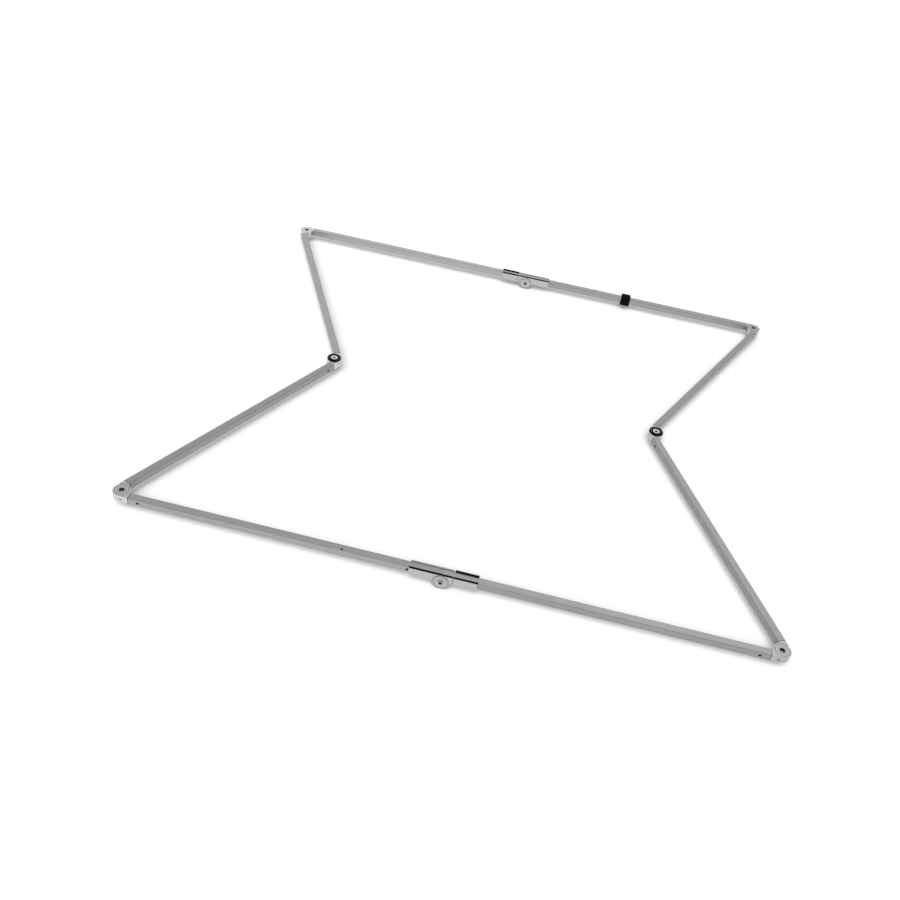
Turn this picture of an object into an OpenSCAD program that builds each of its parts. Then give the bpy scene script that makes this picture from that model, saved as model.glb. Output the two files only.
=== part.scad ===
// Folding frame of eight square aluminium tubes. The two rails (front and back)
// fold in half about a hinge under their middle; the four arms fold inward at
// the two knees until every tube lies side by side.
// Millimetres, +Z up, +X along the rails, -Y is the front.

/* [Frame] */
// distance between the two corner pivots of one rail
rail_span = 2050; // [1600:1:2600]
// distance between the corner pivot and the knee pivot of one arm
arm_reach = 996; // [700:1:1270]
// how far the arms are folded inward from straight, in degrees
fold_angle = 26; // [0:1:90]
// distance from a pivot to the centre line of the tube it carries
pivot_offset = 17; // [13:0.5:24]

/* [Tube] */
// outside width of the square tube
tube_size = 25; // [18:1:40]
// wall of the square tube
tube_wall = 2; // [1:0.1:4]
// chamfer along the tube's long edges
tube_chamfer = 1; // [0.2:0.1:3]
// distance from a pivot to the end of the tube
block_length = 31.5; // [30:0.5:60]
// gap between the two rail tubes where they butt
butt_gap = 0.4; // [0.2:0.1:2]

/* [Knuckles] */
// radius of the round ears and tongues
knuckle_radius = 27; // [20:0.5:34]
// thickness of each fork ear
ear_thickness = 8; // [5:0.5:11]
// slack between tongue and ears, each side
layer_gap = 0.2; // [0.1:0.05:0.5]
// distance from the pivot to the start of the knuckle's neck
neck_start = 2; // [1:0.5:10]
// clearance around the round ends inside the knuckle
sweep_gap = 1; // [0.4:0.1:2]
// length of the plug inside the tube
plug_length = 40; // [15:1:60]
// slack between plug and tube wall, each side
plug_gap = 0.3; // [0.1:0.05:1]
// depth of the turned rings on the ears
ring_depth = 0.6; // [0.2:0.1:1.5]
// width of the turned rings on the ears
ring_width = 1.6; // [0.5:0.1:4]
// radius of the inner turned ring
ring_inner = 12.5; // [10:0.5:18]
// radius of the outer turned ring
ring_outer = 20.5; // [15:0.5:25]

/* [Pivot screws] */
// radius of the screw shank
shank_radius = 5; // [3:0.5:8]
// radial running clearance around the shank
shank_clearance = 0.05; // [0.01:0.01:0.1]
// radius of the screw head and of the round nut
head_radius = 8.5; // [6:0.5:12]
// height of the screw head and of the round nut
head_height = 4.6; // [3:0.1:8]
// depth of the counterbore for head and nut
counterbore_depth = 5; // [3:0.1:7]
// width across flats of the hexagon socket
socket_flats = 8; // [4:0.5:12]
// depth of the hexagon socket
socket_depth = 3; // [1:0.5:6]
// radius of the small grub screws
grub_radius = 3.6; // [1.5:0.1:3.8]
// length of the small grub screws
grub_length = 3; // [2:0.5:12]
// distance from the tube end to its grub screw
grub_inset = 32.5; // [6:0.5:50]
// depth the grub screws sit below the tube face
grub_sink = 0.4; // [0.1:0.1:2]

/* [Knee trim] */
// radius of the black knee disc
cap_radius = 25.5; // [18:0.5:32]
// thickness of the black knee disc
cap_thickness = 3.4; // [1.5:0.1:8]
// outer radius of the bright ring in the disc
trim_ring_radius = 12; // [9.5:0.5:18]
// height of the bright ring
trim_ring_height = 4.2; // [1.5:0.1:8]

/* [Middle hinge] */
// depth of the hinge pin's axis below the tubes
pin_drop = 2; // [1:0.5:14]
// radius of the hinge pin
pin_radius = 4; // [2:0.5:6]
// radius of the round hinge ears
hinge_ear_radius = 27; // [18:0.5:34]
// thickness of the round hinge ears
hinge_ear_thickness = 4.5; // [2:0.5:8]
// radius of the turned ring on the hinge ears
ear_ring = 20.6; // [14:0.1:24]
// thickness of the bracket walls
wall = 2.5; // [1.5:0.1:5]
// thickness of the leaf's wall towards the arms
thick_wall = 5; // [1.5:0.5:5.5]
// thickness of the plates under the tubes
plate = 1.6; // [0.5:0.1:5]
// gap between bracket walls and tube
wall_gap = 3; // [1:0.5:6]
// length of the long bracket on its own tube
bracket_length = 101; // [60:1:180]
// reach of the long bracket past the pin
bracket_reach = 35; // [29:1:60]
// gap between the two bracket parts
bracket_gap = 2; // [0.5:0.5:6]
// length of the short leaf
leaf_length = 74; // [40:1:140]
// distance the walls stand above the tube's top
wall_step = 1.4; // [0.5:0.1:4]
// depth of the ledge that closes the gap on the long bracket's far side
ledge_depth = 12; // [4:1:20]
// slack between the ledge and the tube
ledge_gap = 0.4; // [0.3:0.1:1]
// width of the black liner strips over the tube's chamfer
liner_width = 3.9; // [3:0.1:3.9]
// height of the liner strips above the tube
liner_thickness = 3.8; // [1.2:0.1:6]
// slack between liner strips and tube
liner_gap = 0.2; // [0.1:0.05:1]
// depth the liner strips reach down beside the tube
liner_depth = 14; // [4:1:24]
// distance from the long bracket to its grub screw
bracket_grub_inset = 5.5; // [4:0.5:30]
// radius of the small hole in the leaf's thick wall
leaf_hole_radius = 2.6; // [1:0.1:3]
// depth of the small hole in the leaf's thick wall
leaf_hole_depth = 3; // [1:0.5:4.5]
// radius of the barrel around the pin
barrel_radius = 6.5; // [4.5:0.1:12]
// side slack of the barrel between the ears
barrel_gap = 0.4; // [0.1:0.1:1.5]
// clearance around the barrel in the tube ends
notch_gap = 0.8; // [0.4:0.1:3]
// radius of the pin head and of its round nut
pin_head_radius = 9.5; // [6:0.5:14]
// height of the pin head and of its round nut
pin_head_height = 2.5; // [1.5:0.5:6]
// width across flats of the pin's hexagon socket
pin_socket_flats = 10; // [4:0.5:12]
// depth of the pin's hexagon socket
pin_socket_depth = 1.6; // [0.5:0.1:5]

/* [Strap] */
// distance of the strap from the rail's middle
strap_position = 451; // [200:1:800]
// width of the strap along the rail
strap_width = 40; // [20:1:60]
// thickness of the wound strap above and behind the tube
strap_thick = 11; // [3:0.5:14]
// thickness of the wound strap below the tube
strap_below = 7; // [2:0.5:8]
// thickness of the wound strap towards the arms
strap_inside = 7.5; // [2:0.5:8]
// distance from the rail's middle to its small plug screw
plug_screw_position = 312; // [150:1:700]
// distance of the plug screw from the tube's centre line
plug_screw_offset = 6.5; // [0:0.5:6.5]

/* [Hidden] */
round_faces = 72;
small_faces = 32;
hex_faces = 6;
overlap = 0.01;
half_span = rail_span / 2;
half_tube = tube_size / 2;
tilt = asin(2 * pivot_offset / arm_reach);
arm_run = sqrt(arm_reach * arm_reach - 4 * pivot_offset * pivot_offset);
half_depth = arm_reach * cos(fold_angle - tilt);
knee_shift = 2 * pivot_offset;
lift = hinge_ear_radius + pin_drop;
tongue_radius = knuckle_radius - sweep_gap / 2;
tongue_z0 = ear_thickness + layer_gap;
tongue_thickness = tube_size - 2 * tongue_z0;
plug_size = tube_size - 2 * (tube_wall + plug_gap);
wall_inside = half_tube + wall_gap;
wall_outside = wall_inside + wall;
ear_outside = wall_inside + hinge_ear_thickness;
wall_top = tube_size + wall_step;
leaf_start = bracket_reach + bracket_gap;
hinge_y = half_depth + pivot_offset;

// ---------- places ----------

// one quarter of the frame: signs pick the corner
module corner(side_x, side_y) {
    translate([side_x * half_span, side_y * half_depth, lift])
        mirror([side_x > 0 ? 1 : 0, 0, 0])
            mirror([0, side_y > 0 ? 1 : 0, 0])
                children();
}

// middle of a rail, at the tube's underside; the back rail is turned round,
// but its bracket keeps the liner on the -Y side of the whole frame
module rail_middle(back) {
    translate([0, back ? hinge_y : -hinge_y, lift])
        rotate([0, 0, back ? 180 : 0])
            children();
}

// arm frame: corner pivot at the origin, tube straight along +Y
module arm_frame(side_x, side_y) {
    corner(side_x, side_y)
        rotate([0, 0, -fold_angle])
            children();
}

// knee end of an arm, pivot at the origin
module knee_frame(side_x, side_y) {
    arm_frame(side_x, side_y)
        translate([-knee_shift, arm_run, 0])
            children();
}

// ---------- shared shapes ----------

module tube_outline(size, chamfer) {
    half = size / 2;
    edge = half - chamfer;
    polygon([[-half, -edge], [-edge, -half], [edge, -half], [half, -edge],
             [half, edge], [edge, half], [-edge, half], [-half, edge]]);
}

// square tube lying along +X from x0 to x1, underside at z = 0
module square_tube(x0, x1) {
    translate([x0, 0, half_tube])
        rotate([90, 0, 90])
            linear_extrude(height = x1 - x0)
                difference() {
                    tube_outline(tube_size, tube_chamfer);
                    square(tube_size - 2 * tube_wall, center = true);
                }
}

// hole for a grub screw in the wall on the -Y side
module grub_hole(x) {
    translate([x, -half_tube + tube_wall + overlap, half_tube])
        rotate([90, 0, 0])
            cylinder(h = tube_wall + 1, r = grub_radius + shank_clearance,
                     $fn = small_faces);
}

// hole for the plug screw in the top wall
module plug_hole() {
    translate([-plug_screw_position, -plug_screw_offset,
               tube_size - tube_wall - overlap])
        cylinder(h = tube_wall + 1, r = grub_radius + shank_clearance,
                 $fn = small_faces);
}

// grub screw in the wall on the -Y side
module grub(x) {
    color("#2c2d2f")
        translate([x, -half_tube + grub_sink + grub_length, half_tube])
            rotate([90, 0, 0])
                difference() {
                    cylinder(h = grub_length, r = grub_radius,
                             $fn = small_faces);
                    translate([0, 0, grub_length / 2])
                        cylinder(h = grub_length, r = grub_radius / 2,
                                 $fn = hex_faces);
                }
}

// plug screw in the top wall
module plug_screw() {
    color("#2c2d2f")
        translate([-plug_screw_position, -plug_screw_offset,
                   tube_size - grub_sink - grub_length])
            difference() {
                cylinder(h = grub_length, r = grub_radius,
                         $fn = small_faces);
                translate([0, 0, grub_length / 2])
                    cylinder(h = grub_length, r = grub_radius / 2,
                             $fn = hex_faces);
            }
}

// square block of a knuckle along +X, tube side at -Y, with its plug
module knuckle_block(start) {
    plug_y = -pivot_offset - plug_size / 2;
    plug_z = (tube_size - plug_size) / 2;
    translate([start, 0, 0])
        translate([0, -pivot_offset, half_tube])
            rotate([90, 0, 90])
                linear_extrude(height = block_length - start)
                    tube_outline(tube_size, tube_chamfer);
    difference() {
        translate([block_length - 1, plug_y, plug_z])
            cube([plug_length + 1, plug_size, plug_size]);
        translate([block_length + grub_inset, plug_y - 1, half_tube])
            rotate([-90, 0, 0])
                cylinder(h = grub_length, r = grub_radius + shank_clearance,
                         $fn = small_faces);
        translate([block_length + grub_inset, plug_y + plug_size + 1,
                   half_tube])
            rotate([90, 0, 0])
                cylinder(h = grub_length, r = grub_radius + shank_clearance,
                         $fn = small_faces);
    }
}

// round end with the neck that leads to the block
module ear(radius, thickness) {
    cylinder(h = thickness, r = radius, $fn = round_faces);
    translate([neck_start, -pivot_offset - half_tube + tube_chamfer, 0])
        cube([knuckle_radius + 1 - neck_start, tube_size - 2 * tube_chamfer,
              thickness]);
}

module turned_ring(radius) {
    translate([0, 0, tube_size - ring_depth])
        difference() {
            cylinder(h = 1, r = radius + ring_width, $fn = round_faces);
            translate([0, 0, -1])
                cylinder(h = 3, r = radius, $fn = round_faces);
        }
}

// fork: two ears with the slot between them, block along +X
module fork() {
    slot_z = ear_thickness;
    slot_h = tube_size - 2 * ear_thickness;
    difference() {
        union() {
            ear(knuckle_radius, ear_thickness);
            translate([0, 0, tube_size - ear_thickness])
                ear(knuckle_radius, ear_thickness);
            knuckle_block(knuckle_radius / 2);
        }
        translate([0, 0, slot_z])
            cylinder(h = slot_h, r = knuckle_radius + sweep_gap / 2,
                     $fn = round_faces);
        translate([0, 0, -1])
            cylinder(h = tube_size + 2, r = shank_radius + shank_clearance,
                     $fn = round_faces);
        translate([0, 0, tube_size - counterbore_depth])
            cylinder(h = counterbore_depth + 1, r = head_radius + 0.3,
                     $fn = round_faces);
        translate([0, 0, -1])
            cylinder(h = counterbore_depth + 1, r = head_radius + 0.3,
                     $fn = round_faces);
        turned_ring(ring_inner);
        turned_ring(ring_outer);
    }
}

// tongue: round middle layer, block along +X
module tongue() {
    difference() {
        union() {
            translate([0, 0, tongue_z0])
                ear(tongue_radius, tongue_thickness);
            difference() {
                knuckle_block(knuckle_radius / 2);
                translate([0, 0, -1])
                    cylinder(h = tube_size + 2,
                             r = knuckle_radius + sweep_gap,
                             $fn = round_faces);
            }
        }
        translate([0, 0, -1])
            cylinder(h = tube_size + 2, r = shank_radius + shank_clearance,
                     $fn = round_faces);
    }
}

// socket screw from the top ear's counterbore to the nut
module pivot_screw() {
    head_z = tube_size - counterbore_depth;
    color("#77797c")
        difference() {
            union() {
                translate([0, 0, head_z])
                    cylinder(h = head_height, r = head_radius,
                             $fn = round_faces);
                translate([0, 0, counterbore_depth - head_height])
                    cylinder(h = head_z - counterbore_depth + head_height + 1,
                             r = shank_radius, $fn = round_faces);
            }
            translate([0, 0, head_z + head_height - socket_depth])
                cylinder(h = socket_depth + 1,
                         r = socket_flats / 2 / cos(30), $fn = hex_faces);
        }
}

module pivot_nut() {
    color("#77797c")
        translate([0, 0, counterbore_depth - head_height])
            difference() {
                cylinder(h = head_height, r = head_radius,
                         $fn = round_faces);
                translate([0, 0, -1])
                    cylinder(h = head_height + 2,
                             r = shank_radius + shank_clearance,
                             $fn = round_faces);
            }
}

module silver() { color("#c9cbcd") children(); }
module satin() { color("#9b9d9f") children(); }

// ---------- rails ----------

// room around the hinge barrel in the tubes' butting ends
module barrel_notch() {
    translate([0, tube_size, -pin_drop])
        rotate([90, 0, 0])
            cylinder(h = 2 * tube_size, r = barrel_radius + notch_gap,
                     $fn = round_faces);
}

// the half that carries the long bracket: x from -half_span to 0
module bracket_side_tube() {
    satin()
        difference() {
            square_tube(-half_span + block_length, -butt_gap / 2);
            grub_hole(-half_span + block_length + grub_inset);
            plug_hole();
            grub_hole(-bracket_length - bracket_grub_inset);
            barrel_notch();
        }
}

module bracket_side_grubs() {
    grub(-half_span + block_length + grub_inset);
    plug_screw();
    grub(-bracket_length - bracket_grub_inset);
}

// the half that carries the short leaf: x from 0 to half_span
module leaf_side_tube() {
    satin()
        difference() {
            square_tube(butt_gap / 2, half_span - block_length);
            grub_hole(half_span - block_length - grub_inset);
            barrel_notch();
        }
}

module leaf_side_grubs() {
    grub(half_span - block_length - grub_inset);
}

// ---------- middle hinge ----------

module bracket_ear(side_y) {
    translate([0, side_y > 0 ? ear_outside : -wall_inside, -pin_drop])
        rotate([90, 0, 0])
            cylinder(h = hinge_ear_thickness, r = hinge_ear_radius,
                     $fn = round_faces);
}

// turned ring cut into the outer face of an ear
module ear_groove(side_y) {
    depth = ring_depth + 1;
    translate([0, side_y > 0 ? ear_outside + 1 : -ear_outside + ring_depth,
               -pin_drop])
        rotate([90, 0, 0])
            difference() {
                cylinder(h = depth, r = ear_ring + ring_width,
                         $fn = round_faces);
                translate([0, 0, -1])
                    cylinder(h = depth + 2, r = ear_ring,
                             $fn = round_faces);
            }
}

// L-shaped liner strip on the -Y side, from x0 to x1
module liner(x0, x1) {
    top = tube_size + liner_gap;
    translate([x0, -wall_inside, top])
        cube([x1 - x0, liner_width, liner_thickness]);
    translate([x0, -wall_inside, top - liner_depth])
        cube([x1 - x0, wall_gap - liner_gap, liner_depth + overlap]);
}

module bracket_liner() {
    color("#161719") liner(-bracket_length, bracket_reach);
}

module leaf_liners() {
    color("#161719") {
        liner(leaf_start, leaf_start + leaf_length);
        mirror([0, 1, 0]) liner(leaf_start, leaf_start + leaf_length);
    }
}

// long U bracket with the two ears and a ledge along its +Y wall
module long_bracket() {
    silver()
        difference() {
            union() {
                for (side_y = [-1, 1]) {
                    translate([-bracket_length,
                               side_y > 0 ? wall_inside : -wall_outside,
                               -plate])
                        cube([bracket_length + bracket_reach, wall,
                              wall_top + plate]);
                    bracket_ear(side_y);
                }
                translate([-bracket_length, -wall_outside, -plate])
                    cube([bracket_length - hinge_ear_radius / 2,
                          2 * wall_outside, plate]);
                translate([-bracket_length, half_tube + ledge_gap,
                           wall_top - ledge_depth])
                    cube([bracket_length + bracket_reach,
                          wall_gap - ledge_gap + overlap, ledge_depth]);
            }
            for (side_y = [-1, 1])
                ear_groove(side_y);
            translate([0, ear_outside + 1, -pin_drop])
                rotate([90, 0, 0])
                    cylinder(h = 2 * ear_outside + 2,
                             r = pin_radius + shank_clearance,
                             $fn = round_faces);
        }
}

// short U leaf with the barrel that turns on the pin
module short_leaf() {
    barrel_half = wall_inside - barrel_gap;
    silver()
        difference() {
            union() {
                translate([leaf_start, -wall_outside, -plate])
                    cube([leaf_length, wall, wall_top + plate]);
                translate([leaf_start, wall_inside, -plate])
                    cube([leaf_length, thick_wall, wall_top + plate]);
                translate([leaf_start, -wall_outside, -plate])
                    cube([leaf_length,
                          wall_outside + wall_inside + thick_wall, plate]);
                translate([0, -barrel_half, -plate])
                    cube([leaf_start + overlap, 2 * barrel_half, plate]);
                translate([0, barrel_half, -pin_drop])
                    rotate([90, 0, 0])
                        cylinder(h = 2 * barrel_half, r = barrel_radius,
                                 $fn = round_faces);
            }
            translate([0, barrel_half + 1, -pin_drop])
                rotate([90, 0, 0])
                    cylinder(h = 2 * barrel_half + 2,
                             r = pin_radius + shank_clearance,
                             $fn = round_faces);
            translate([leaf_start + 3 * leaf_hole_radius,
                       wall_inside + thick_wall + 1, half_tube])
                rotate([90, 0, 0])
                    cylinder(h = leaf_hole_depth + 1, r = leaf_hole_radius,
                             $fn = small_faces);
        }
}

// pin with its socket head on the outer (-Y) side
module hinge_pin() {
    color("#77797c")
        translate([0, -ear_outside, -pin_drop])
            rotate([90, 0, 0])
                difference() {
                    union() {
                        cylinder(h = pin_head_height, r = pin_head_radius,
                                 $fn = round_faces);
                        translate([0, 0, -2 * ear_outside - pin_head_height])
                            cylinder(h = 2 * ear_outside + pin_head_height + 1,
                                     r = pin_radius, $fn = round_faces);
                    }
                    translate([0, 0, pin_head_height - pin_socket_depth])
                        cylinder(h = pin_socket_depth + 1,
                                 r = pin_socket_flats / 2 / cos(30),
                                 $fn = hex_faces);
                }
}

module hinge_nut() {
    color("#77797c")
        translate([0, ear_outside + pin_head_height, -pin_drop])
            rotate([90, 0, 0])
                difference() {
                    cylinder(h = pin_head_height, r = pin_head_radius,
                             $fn = round_faces);
                    translate([0, 0, -1])
                        cylinder(h = pin_head_height + 2,
                                 r = pin_radius + shank_clearance,
                                 $fn = round_faces);
                }
}

// ---------- arms ----------

module arm_tube() {
    satin()
        translate([-pivot_offset, 0, 0])
            rotate([0, 0, 90])
                difference() {
                    square_tube(block_length, arm_run - block_length);
                    mirror([0, 1, 0]) grub_hole(block_length + grub_inset);
                    grub_hole(arm_run - block_length - grub_inset);
                }
}

// the corner's screw is on the arm's outer side, the knee's on the inner side
module arm_grubs() {
    translate([-pivot_offset, 0, 0])
        rotate([0, 0, 90]) {
            mirror([0, 1, 0]) grub(block_length + grub_inset);
            grub(arm_run - block_length - grub_inset);
        }
}

// knuckle turned so that its block runs along +Y on the -X side
module arm_corner_tongue() {
    silver() rotate([0, 0, 90]) mirror([0, 1, 0]) tongue();
}

// knuckle turned so that its block runs along -Y on the +X side
module knee_turn() {
    rotate([0, 0, -90]) mirror([0, 1, 0]) children();
}

module knee_cap() {
    color("#1c1d1f")
        translate([0, 0, tube_size])
            rotate_extrude($fn = round_faces)
                polygon([[trim_ring_radius + 0.2, 0], [cap_radius, 0],
                         [cap_radius, cap_thickness - 1],
                         [cap_radius - 1, cap_thickness],
                         [trim_ring_radius + 0.2, cap_thickness]]);
}

module knee_ring() {
    color("#d9dadb")
        translate([0, 0, tube_size])
            rotate_extrude($fn = round_faces)
                polygon([[head_radius + 0.6, 0], [trim_ring_radius, 0],
                         [trim_ring_radius, trim_ring_height - 0.6],
                         [trim_ring_radius - 0.6, trim_ring_height],
                         [head_radius + 0.6, trim_ring_height]]);
}

// ---------- strap ----------

// wound strap around the rail tube, thin side towards the arms
module strap_band() {
    outer_y = half_tube + strap_thick;
    inner_y = half_tube + strap_inside;
    top_z = half_tube + strap_thick;
    low_z = half_tube + strap_below;
    cut = strap_below;
    color("#17181a")
        translate([-strap_position + -strap_width / 2, 0, half_tube])
            rotate([90, 0, 90])
                linear_extrude(height = strap_width)
                    difference() {
                        polygon([[-outer_y + cut, -low_z],
                                 [inner_y - cut, -low_z],
                                 [inner_y, -low_z + cut],
                                 [inner_y, top_z - cut],
                                 [inner_y - cut, top_z],
                                 [-outer_y + cut, top_z],
                                 [-outer_y, top_z - cut],
                                 [-outer_y, -low_z + cut]]);
                        tube_outline(tube_size, tube_chamfer);
                    }
}

// ---------- sub-parts ----------

module front_left_tube() { rail_middle(false) bracket_side_tube(); }
module front_left_fork() { silver() corner(-1, -1) fork(); }
module front_left_screw() { corner(-1, -1) pivot_screw(); }
module front_left_nut() { corner(-1, -1) pivot_nut(); }
module front_bracket() { rail_middle(false) long_bracket(); }
module front_bracket_liner() { rail_middle(false) bracket_liner(); }
module front_hinge_pin() { rail_middle(false) hinge_pin(); }
module front_hinge_nut() { rail_middle(false) hinge_nut(); }
module front_left_grubs() { rail_middle(false) bracket_side_grubs(); }

module front_right_tube() { rail_middle(false) leaf_side_tube(); }
module front_right_fork() { silver() corner(1, -1) fork(); }
module front_right_screw() { corner(1, -1) pivot_screw(); }
module front_right_nut() { corner(1, -1) pivot_nut(); }
module front_leaf() { rail_middle(false) short_leaf(); }
module front_leaf_liners() { rail_middle(false) leaf_liners(); }
module front_right_grubs() { rail_middle(false) leaf_side_grubs(); }

module back_right_tube() { rail_middle(true) bracket_side_tube(); }
module back_right_fork() { silver() corner(1, 1) fork(); }
module back_right_screw() { corner(1, 1) pivot_screw(); }
module back_right_nut() { corner(1, 1) pivot_nut(); }
module back_bracket() { rail_middle(true) mirror([0, 1, 0]) long_bracket(); }
module back_bracket_liner() { rail_middle(true) mirror([0, 1, 0]) bracket_liner(); }
module back_hinge_pin() { rail_middle(true) hinge_pin(); }
module back_hinge_nut() { rail_middle(true) hinge_nut(); }
module back_right_grubs() { rail_middle(true) bracket_side_grubs(); }
module strap() { rail_middle(true) strap_band(); }

module back_left_tube() { rail_middle(true) leaf_side_tube(); }
module back_left_fork() { silver() corner(-1, 1) fork(); }
module back_left_screw() { corner(-1, 1) pivot_screw(); }
module back_left_nut() { corner(-1, 1) pivot_nut(); }
module back_leaf() { rail_middle(true) short_leaf(); }
module back_leaf_liners() { rail_middle(true) leaf_liners(); }
module back_left_grubs() { rail_middle(true) leaf_side_grubs(); }

module left_front_arm_tube() { arm_frame(-1, -1) arm_tube(); }
module left_front_corner_tongue() { arm_frame(-1, -1) arm_corner_tongue(); }
module left_front_knee_tongue() {
    silver() knee_frame(-1, -1) knee_turn() tongue();
}
module left_front_arm_grubs() { arm_frame(-1, -1) arm_grubs(); }

module left_back_arm_tube() { arm_frame(-1, 1) arm_tube(); }
module left_back_corner_tongue() { arm_frame(-1, 1) arm_corner_tongue(); }
module left_knee_fork() { silver() knee_frame(-1, 1) knee_turn() fork(); }
module left_knee_screw() { knee_frame(-1, 1) pivot_screw(); }
module left_knee_nut() { knee_frame(-1, 1) pivot_nut(); }
module left_knee_cap() { knee_frame(-1, 1) knee_cap(); }
module left_knee_ring() { knee_frame(-1, 1) knee_ring(); }
module left_back_arm_grubs() { arm_frame(-1, 1) arm_grubs(); }

module right_front_arm_tube() { arm_frame(1, -1) arm_tube(); }
module right_front_corner_tongue() { arm_frame(1, -1) arm_corner_tongue(); }
module right_front_knee_tongue() {
    silver() knee_frame(1, -1) knee_turn() tongue();
}
module right_front_arm_grubs() { arm_frame(1, -1) arm_grubs(); }

module right_back_arm_tube() { arm_frame(1, 1) arm_tube(); }
module right_back_corner_tongue() { arm_frame(1, 1) arm_corner_tongue(); }
module right_knee_fork() { silver() knee_frame(1, 1) knee_turn() fork(); }
module right_knee_screw() { knee_frame(1, 1) pivot_screw(); }
module right_knee_nut() { knee_frame(1, 1) pivot_nut(); }
module right_knee_cap() { knee_frame(1, 1) knee_cap(); }
module right_knee_ring() { knee_frame(1, 1) knee_ring(); }
module right_back_arm_grubs() { arm_frame(1, 1) arm_grubs(); }

front_left_tube();
front_left_fork();
front_left_screw();
front_left_nut();
front_bracket();
front_bracket_liner();
front_hinge_pin();
front_hinge_nut();
front_left_grubs();
front_right_tube();
front_right_fork();
front_right_screw();
front_right_nut();
front_leaf();
front_leaf_liners();
front_right_grubs();
back_right_tube();
back_right_fork();
back_right_screw();
back_right_nut();
back_bracket();
back_bracket_liner();
back_hinge_pin();
back_hinge_nut();
back_right_grubs();
strap();
back_left_tube();
back_left_fork();
back_left_screw();
back_left_nut();
back_leaf();
back_leaf_liners();
back_left_grubs();
left_front_arm_tube();
left_front_corner_tongue();
left_front_knee_tongue();
left_front_arm_grubs();
left_back_arm_tube();
left_back_corner_tongue();
left_knee_fork();
left_knee_screw();
left_knee_nut();
left_knee_cap();
left_knee_ring();
left_back_arm_grubs();
right_front_arm_tube();
right_front_corner_tongue();
right_front_knee_tongue();
right_front_arm_grubs();
right_back_arm_tube();
right_back_corner_tongue();
right_knee_fork();
right_knee_screw();
right_knee_nut();
right_knee_cap();
right_knee_ring();
right_back_arm_grubs();
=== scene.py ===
"""Looks for the folding aluminium frame: finishes, wound strap, printed marks,
floor, lights and camera. Metres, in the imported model's own frame."""
import math

import bmesh
import bpy
from mathutils import Matrix, Vector


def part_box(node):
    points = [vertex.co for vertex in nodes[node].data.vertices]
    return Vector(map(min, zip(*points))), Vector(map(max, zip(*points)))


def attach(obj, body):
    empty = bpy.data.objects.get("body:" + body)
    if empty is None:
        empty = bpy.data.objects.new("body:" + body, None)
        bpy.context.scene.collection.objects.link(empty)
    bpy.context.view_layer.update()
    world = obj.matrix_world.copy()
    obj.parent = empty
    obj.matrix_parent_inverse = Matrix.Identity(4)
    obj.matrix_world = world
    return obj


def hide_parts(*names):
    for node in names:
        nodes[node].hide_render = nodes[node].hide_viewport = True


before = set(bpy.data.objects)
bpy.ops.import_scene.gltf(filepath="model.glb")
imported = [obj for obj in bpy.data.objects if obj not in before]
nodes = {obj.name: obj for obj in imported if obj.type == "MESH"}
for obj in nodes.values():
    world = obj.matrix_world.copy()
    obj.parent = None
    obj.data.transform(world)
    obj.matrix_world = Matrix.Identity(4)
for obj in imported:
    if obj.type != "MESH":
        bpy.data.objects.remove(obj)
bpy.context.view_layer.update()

MM = 0.001

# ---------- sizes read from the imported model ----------


def centre(node):
    """Middle of a CAD node's box."""
    low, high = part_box(node)
    return (low + high) / 2


CORNERS = {side: centre(side + "_screw")
           for side in ("front_left", "front_right",
                        "back_left", "back_right")}
KNEES = {side: centre(side + "_knee_screw") for side in ("left", "right")}
TUBE_LOW, TUBE_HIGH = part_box("front_left_tube")
TUBE_HALF = (TUBE_HIGH.z - TUBE_LOW.z) / 2
TUBE_MID = (TUBE_HIGH.z + TUBE_LOW.z) / 2
TUBE_CHAMFER = 1.0 * MM
LEAN_ROUNDS = 20            # a tube's lean settles well within these
SCREW_SPREAD = 20 * MM      # vertices closer than this are one small screw


def at_mid(place):
    """The same place, at the middle height of the tubes."""
    return Vector((place.x, place.y, TUBE_MID))


def tube_axis(node, corner=None, knee=None):
    """Middle, heading about Z and half length of a square tube, found from
    its box. A tube of width w and length l that leans by a from Y fills
    l sin a + w cos a across X and l cos a + w sin a across Y."""
    low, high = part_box(node)
    reach, width = high - low, 2 * TUBE_HALF
    if corner is None:
        return centre(node), 0.0, reach.x / 2
    lean = math.atan2(reach.x, reach.y)
    for _ in range(LEAN_ROUNDS):
        lean = math.atan2(reach.x - width * math.cos(lean),
                          reach.y - width * math.sin(lean))
    sign = 1 if (knee.x - corner.x) * (knee.y - corner.y) < 0 else -1
    length = (reach.y - width * math.sin(lean)) / math.cos(lean)
    return centre(node), sign * lean + math.pi / 2, length / 2


def side_screws(node):
    """Middles of a CAD node's small screws that sit in a side wall."""
    groups = []
    for vertex in nodes[node].data.vertices:
        for group in groups:
            if (group[0] - vertex.co).length < SCREW_SPREAD:
                group.append(vertex.co)
                break
        else:
            groups.append([vertex.co])
    middles = [sum(group, Vector()) / len(group) for group in groups]
    return [middle for middle in middles
            if abs(middle.z - TUBE_MID) < TUBE_HALF / 2]


# ---------- node materials ----------

# Noise stretched along a part's own axes, in waves per metre.
DIE_BANDS = (1.6, 170, 170)
DIE_LINES = (4, 700, 700)
DIE_HAIRS = (35, 2600, 2600)
TUBE_SCUFFS = (55, 260, 260)
EDGE_RUBS = (60, 90, 90)
BRUSHING = (40, 500, 1500)
CAP_SCUFFS = (900, 160, 160)
FIBRES = (3800, 900, 900)
LINT = (500, 1400, 1400)

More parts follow.
